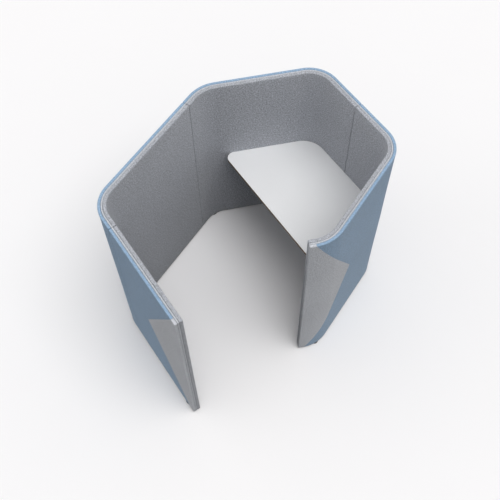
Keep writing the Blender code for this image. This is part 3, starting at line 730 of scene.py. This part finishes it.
def laminate_material(groups):
    """Matt white high-pressure laminate with a fine pearl texture and faint use marks."""
    made, tree, shader = new_material("white_laminate", Specular_IOR_Level=0.45)
    room = add(tree, "ShaderNodeTexCoord").outputs["Object"]
    marks = use(tree, groups["handling"], {"Place": room, "Scratch scale": 38.0, "Rub scale": 7.0})
    speck = spread(tree, clouds(tree, room, 900.0, 2.0, 0.7), 0.35, 0.65)
    colour = blend(tree, speck, (0.875, 0.882, 0.89, 1.0), (0.91, 0.915, 0.92, 1.0))
    colour = blend(tree, sums(tree, "MULTIPLY", marks["Scratches"], 0.05), colour, (0.55, 0.55, 0.56, 1.0))
    faded = use(tree, groups["soft_fading"], {"Color": colour, "Place": room, "Scale": 2.2, "Amount": 0.035})
    tree.links.new(faded["Color"], shader.inputs["Base Color"])
    rough = sums(tree, "ADD", spread(tree, marks["Rubs"], 0.0, 1.0, 0.38, 0.47),
                 sums(tree, "MULTIPLY", marks["Scratches"], 0.12))
    tree.links.new(rough, shader.inputs["Roughness"])
    pearl = clouds(tree, room, 1500.0, 2.0, 0.5)
    bump(tree, shader, sums(tree, "ADD", pearl, sums(tree, "MULTIPLY", marks["Height"], 0.4)), 0.00005, 0.6)
    return made


def plywood_material(name, groups, pale, brown):
    """Birch plywood: thin layers seen at the edge, long grain on the faces."""
    made, tree, shader = new_material(name, Specular_IOR_Level=0.35)
    room = add(tree, "ShaderNodeTexCoord").outputs["Object"]
    height = add(tree, "ShaderNodeSeparateXYZ", {0: room}).outputs[2]
    waver = clouds(tree, room, 14.0, 2.0)
    ply = sums(tree, "ADD", sums(tree, "MULTIPLY", height, 700.0), sums(tree, "MULTIPLY", waver, 0.25))
    layer = sums(tree, "PINGPONG", ply, 1.0)
    band = spread(tree, layer, 0.35, 0.65)
    stretch = add(tree, "ShaderNodeVectorMath", {0: room, 1: (1.0, 1.0, 9.0)}, operation="MULTIPLY")
    grain = clouds(tree, stretch.outputs[0], 120.0, 5.0, 0.65)
    colour = blend(tree, band, (*pale, 1.0), (*brown, 1.0))
    colour = blend(tree, sums(tree, "MULTIPLY", spread(tree, grain, 0.4, 0.7), 0.35), colour,
                   (brown[0] * 0.6, brown[1] * 0.55, brown[2] * 0.5, 1.0))
    faded = use(tree, groups["soft_fading"], {"Color": colour, "Place": room, "Scale": 9.0, "Amount": 0.16})
    tree.links.new(faded["Color"], shader.inputs["Base Color"])
    tree.links.new(spread(tree, grain, 0.3, 0.7, 0.45, 0.66), shader.inputs["Roughness"])
    bump(tree, shader, sums(tree, "ADD", grain, sums(tree, "MULTIPLY", band, 0.4)), 0.0002, 0.5)
    return made


def powder_coat_material(groups):
    """Black powder-coated steel with rubbed spots."""
    made, tree, shader = new_material("black_powder_coat", Specular_IOR_Level=0.5)
    room = add(tree, "ShaderNodeTexCoord").outputs["Object"]
    marks = use(tree, groups["handling"], {"Place": room, "Scratch scale": 80.0, "Rub scale": 20.0})
    colour = blend(tree, marks["Rubs"], (0.018, 0.018, 0.019, 1.0), (0.034, 0.034, 0.036, 1.0))
    colour = blend(tree, sums(tree, "MULTIPLY", marks["Scratches"], 0.3), colour, (0.12, 0.12, 0.12, 1.0))
    tree.links.new(colour, shader.inputs["Base Color"])
    tree.links.new(spread(tree, marks["Rubs"], 0.0, 1.0, 0.42, 0.6), shader.inputs["Roughness"])
    bump(tree, shader, clouds(tree, room, 1400.0, 3.0, 0.6), 0.00012, 0.8)
    return made


def zinc_material(groups):
    """Zinc-plated steel, faintly spangled."""
    made, tree, shader = new_material("zinc_plated_steel", Metallic=1.0)
    room = add(tree, "ShaderNodeTexCoord").outputs["Object"]
    marks = use(tree, groups["handling"], {"Place": room, "Scratch scale": 120.0, "Rub scale": 30.0})
    cells = add(tree, "ShaderNodeTexVoronoi", {"Vector": room, "Scale": 180.0}).outputs["Color"]
    tint = add(tree, "ShaderNodeSeparateXYZ", {0: cells}).outputs[0]
    colour = blend(tree, tint, (0.60, 0.61, 0.63, 1.0), (0.72, 0.73, 0.74, 1.0))
    tree.links.new(colour, shader.inputs["Base Color"])
    tree.links.new(spread(tree, marks["Rubs"], 0.0, 1.0, 0.26, 0.42), shader.inputs["Roughness"])
    bump(tree, shader, sums(tree, "ADD", marks["Height"], sums(tree, "MULTIPLY", tint, 0.3)), 0.00006)
    return made


def nylon_material(groups):
    """Black moulded nylon, a little dusty."""
    made, tree, shader = new_material("black_nylon", Specular_IOR_Level=0.4)
    room = add(tree, "ShaderNodeTexCoord").outputs["Object"]
    marks = use(tree, groups["handling"], {"Place": room, "Scratch scale": 150.0, "Rub scale": 40.0})
    colour = blend(tree, marks["Rubs"], (0.020, 0.020, 0.021, 1.0), (0.040, 0.040, 0.042, 1.0))
    dusty = use(tree, groups["floor_dust"], {"Color": colour, "Place": room, "Reach": 0.012, "Amount": 0.25})
    tree.links.new(dusty["Color"], shader.inputs["Base Color"])
    tree.links.new(spread(tree, marks["Rubs"], 0.0, 1.0, 0.5, 0.7), shader.inputs["Roughness"])
    bump(tree, shader, clouds(tree, room, 2200.0, 2.0, 0.6), 0.0001, 0.7)
    return made


def make_finishes():
    """Every finish of the carrel by the name of its slot or use."""
    groups = {"woven_wool": woven_wool_group(), "soft_fading": soft_fading_group(),
              "floor_dust": floor_dust_group(), "handling": handling_group()}
    blue = ((0.235, 0.365, 0.52), (0.385, 0.545, 0.745), (0.62, 0.73, 0.87))
    # The inner covers' grey is darker than the rim's stone partly as its own tone and partly as painted
    # shade of the cabin's inner walls
    grey = ((0.315, 0.33, 0.365), (0.55, 0.57, 0.62), (0.80, 0.81, 0.84))
    stone = ((0.52, 0.54, 0.58), (0.74, 0.76, 0.81), (0.90, 0.91, 0.93))
    return {
        "blue_wool": wool("blue_wool", groups, *blue, 0.25),
        "grey_wool": wool("grey_wool", groups, *grey, 0.46),
        "light_wool": wool("stone_wool", groups, *stone, 0.27),
        "thread": thread_material(),
        "white_laminate": laminate_material(groups),
        "plywood": plywood_material("birch_core", groups, (0.62, 0.47, 0.31), (0.42, 0.28, 0.16)),
        # birch_edge is the same birch plywood as birch_core at about half the brightness: painted shade of
        # the board's edge under the laminate
        "birch_edge": plywood_material("birch_edge", groups, (0.42, 0.27, 0.17), (0.20, 0.11, 0.065)),
        "black_steel": powder_coat_material(groups),
        "zinc_steel": zinc_material(groups),
        "black_nylon": nylon_material(groups),
    }


def finish_frame(finish):
    """Finish of every CAD node that stays in view, by its slot in the record."""
    for part in frame["record"]["subparts"]:
        made = frame["nodes"][part["node"]]
        for slot in made.material_slots:
            slot.material = finish[part["material_slot"]]


# ---------------------------------------------------------------- worktop

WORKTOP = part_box("worktop_laminate")[1].z
LAMINATE = 0.001
WORKTOP_DEPTH = 0.667
WORKTOP_GAP = 0.0005
WORKTOP_BACK_RADIUS = 0.165
WORKTOP_FRONT_RADIUS = 0.050
LAMINATE_LIP = 0.00035
BOARD_EASE = 0.0008


def rounded(points, radii, step=math.radians(3)):
    """Closed outline with an arc at each corner that has a radius."""
    outline = []
    for index, (corner, radius) in enumerate(zip(points, radii)):
        here = Vector(corner)
        back = (Vector(points[index - 1]) - here).normalized()
        ahead = (Vector(points[(index + 1) % len(points)]) - here).normalized()
        half = back.angle(ahead) / 2
        centre = here + (back + ahead).normalized() * radius / math.sin(half)
        first = here + back * radius / math.tan(half) - centre
        last = here + ahead * radius / math.tan(half) - centre
        steps = math.ceil((math.pi - 2 * half) / step)
        sweep = first.angle_signed(last)
        for k in range(steps + 1):
            spoke = first.copy()
            spoke.rotate(Matrix.Rotation(-sweep * k / steps, 2))
            outline.append(centre + spoke)
    return outline


def worktop_outline(inset=0.0):
    """Outline of the worktop: it follows the inner faces of the shoulders and of the back wall."""
    depth = WALL + WORKTOP_GAP + inset
    shoulder = Vector((BACK / 2, DEPTH / 2)) - unit(22.5) * depth
    run = unit(112.5)
    back = DEPTH / 2 - depth
    front = DEPTH / 2 - WORKTOP_DEPTH + inset
    half_back = shoulder.x + (back - shoulder.y) * run.x / run.y
    half_front = shoulder.x + (front - shoulder.y) * run.x / run.y
    corners = [(-half_front, front), (half_front, front), (half_back, back), (-half_back, back)]
    radii = [WORKTOP_FRONT_RADIUS - inset] * 2 + [WORKTOP_BACK_RADIUS - inset] * 2
    return rounded(corners, radii)


def lipped_sheet(name, levels, material):
    """Flat sheet whose outline shrinks at each level by the inset given with it."""
    points = []
    for inset, height in levels:
        points += [(p.x, p.y, height) for p in worktop_outline(inset)]
    ring = len(points) // len(levels)
    faces = [[r * ring + k, r * ring + (k + 1) % ring, (r + 1) * ring + (k + 1) % ring, (r + 1) * ring + k]
             for r in range(len(levels) - 1) for k in range(ring)]
    faces += [list(range(ring)), list(range((len(levels) - 1) * ring, len(levels) * ring))]
    made = link(name, mesh_of(name, points, faces), material)
    made.data.set_sharp_from_angle(angle=math.radians(30))
    return made


def build_worktop(finish):
    """Laminate with a broken edge, and the board with its corners eased."""
    low, high = (corner.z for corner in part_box("worktop_board"))
    lip = LAMINATE_LIP
    levels = ((0.0, WORKTOP - LAMINATE), (0.0, WORKTOP - lip), (lip * 0.4, WORKTOP - lip * 0.4),
              (lip, WORKTOP))
    sheet = lipped_sheet("worktop_laminate_sheet", levels, finish["white_laminate"])
    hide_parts("worktop_laminate")
    ease = BOARD_EASE
    levels = ((ease, low), (ease * 0.3, low + ease * 0.3), (0.0, low + ease), (0.0, high - GAP), (GAP, high))
    board = lipped_sheet("worktop_core_board", levels, finish["birch_edge"])
    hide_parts("worktop_board")
    for made in (sheet, board):
        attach(made, SCREEN)


def angle_screws(name, places, material):
    """Pan-head screws seen from below: domed heads with a cross recess, on plain shanks."""
    points = []
    faces = []
    for place in places:
        first = len(points)
        for radius, drop, lobes in SCREW_PROFILE:
            for k in range(SCREW_SIDES):
                lobe = 1 + lobes * math.cos(8 * math.pi * k / SCREW_SIDES)
                spoke = unit(360 * k / SCREW_SIDES) * radius * lobe
                points.append(place + Vector((spoke.x, spoke.y, -drop)))
        for ring in range(len(SCREW_PROFILE) - 1):
            start = first + ring * SCREW_SIDES
            for k in range(SCREW_SIDES):
                after = start + (k + 1) % SCREW_SIDES
                faces.append([start + k, after, after + SCREW_SIDES, start + k + SCREW_SIDES])
        faces.append(list(range(first, first + SCREW_SIDES)))
        faces.append(list(range(len(points) - SCREW_SIDES, len(points))))
    made = link(name, mesh_of(name, points, faces), material)
    made.data.set_sharp_from_angle(angle=math.radians(35))
    return made


def build_screws(finish):
    """Two screws under each angle, up into the board."""
    for name, along, length in ANGLES:
        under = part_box(f"worktop_angle_{name}")[1].z - ANGLE_STEEL - GAP
        places = [wall_place(along + side * length * SCREW_SHARE, SCREW_DEPTH, under) for side in (-1, 1)]
        screws = angle_screws(f"worktop_angle_screws_{name}", places, finish["zinc_steel"])
        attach(screws, SCREEN)


# ---------------------------------------------------------------- light, floor and camera

def build_camera():
    """Camera high over the doorway corner, looking down into the cabin."""
    turn, pitch, roll = (math.radians(angle) for angle in (CAMERA_TURN, CAMERA_PITCH, CAMERA_ROLL))
    ahead = Vector((-math.sin(turn) * math.cos(pitch), math.cos(turn) * math.cos(pitch), -math.sin(pitch)))
    level = Vector((math.cos(turn), math.sin(turn), 0.0))
    upward = level.cross(ahead)
    right = level * math.cos(roll) - upward * math.sin(roll)
    up = level * math.sin(roll) + upward * math.cos(roll)
    data = bpy.data.cameras.new("camera")
    data.lens = CAMERA_LENS
    data.sensor_width = CAMERA_SENSOR
    camera = bpy.data.objects.new("camera", data)
    bpy.context.scene.collection.objects.link(camera)
    turned = Matrix((right, up, -ahead)).transposed().to_4x4()
    camera.matrix_world = Matrix.Translation(CAMERA_PLACE) @ turned
    bpy.context.scene.camera = camera


def build_studio():
    """Pale floor and backdrop, a soft sky, a broad light overhead and a weak one beside it."""
    scene = bpy.context.scene
    scene.view_settings.view_transform = "Standard"
    world = bpy.data.worlds.new("studio")
    scene.world = world
    world.use_nodes = True
    sky = world.node_tree
    facing = add(sky, "ShaderNodeTexCoord").outputs["Generated"]
    level = add(sky, "ShaderNodeSeparateXYZ", {0: facing}).outputs[2]
    glow = spread(sky, level, -SKY_RISE, SKY_RISE, BOUNCE, SKY)
    seen = add(sky, "ShaderNodeLightPath").outputs["Is Camera Ray"]
    glow = spread(sky, seen, 0.0, 1.0, glow, BACKDROP)
    lit = sky.nodes["Background"]
    sky.links.new(glow, lit.inputs["Strength"])
    lit.inputs["Color"].default_value = (1.0, 1.0, 1.0, 1.0)
    for name, share, width, towards in LAMPS:
        lamp = bpy.data.lights.new(name, "SUN")
        lamp.energy = share * math.pi
        lamp.angle = math.radians(width)
        made = bpy.data.objects.new(name, lamp)
        scene.collection.objects.link(made)
        made.rotation_euler = Vector(towards).to_track_quat("Z", "Y").to_euler()
    studio_floor()


def studio_floor():
    """Broad pale floor; the walls take no light back from it."""
    ring = [(*(unit(360 * k / FLOOR_SIDES) * FLOOR_REACH), 0.0) for k in range(FLOOR_SIDES)]
    made, tree, shader = new_material("pale_floor", Specular_IOR_Level=0.1, Roughness=0.8)
    room = add(tree, "ShaderNodeTexCoord").outputs["Object"]
    tone = blend(tree, clouds(tree, room, 1.5, 2.0), (0.93, 0.92, 0.925, 1.0), (0.94, 0.93, 0.935, 1.0))
    tree.links.new(tone, shader.inputs["Base Color"])
    floor = link("floor", mesh_of("floor", ring, [list(range(FLOOR_SIDES))]), made)
    floor.visible_diffuse = False
    floor.visible_shadow = False
    return floor


build_camera()
build_studio()
finishes = make_finishes()
finish_frame(finishes)
build_pads(finishes)
build_rim(finishes)
build_worktop(finishes)
build_screws(finishes)
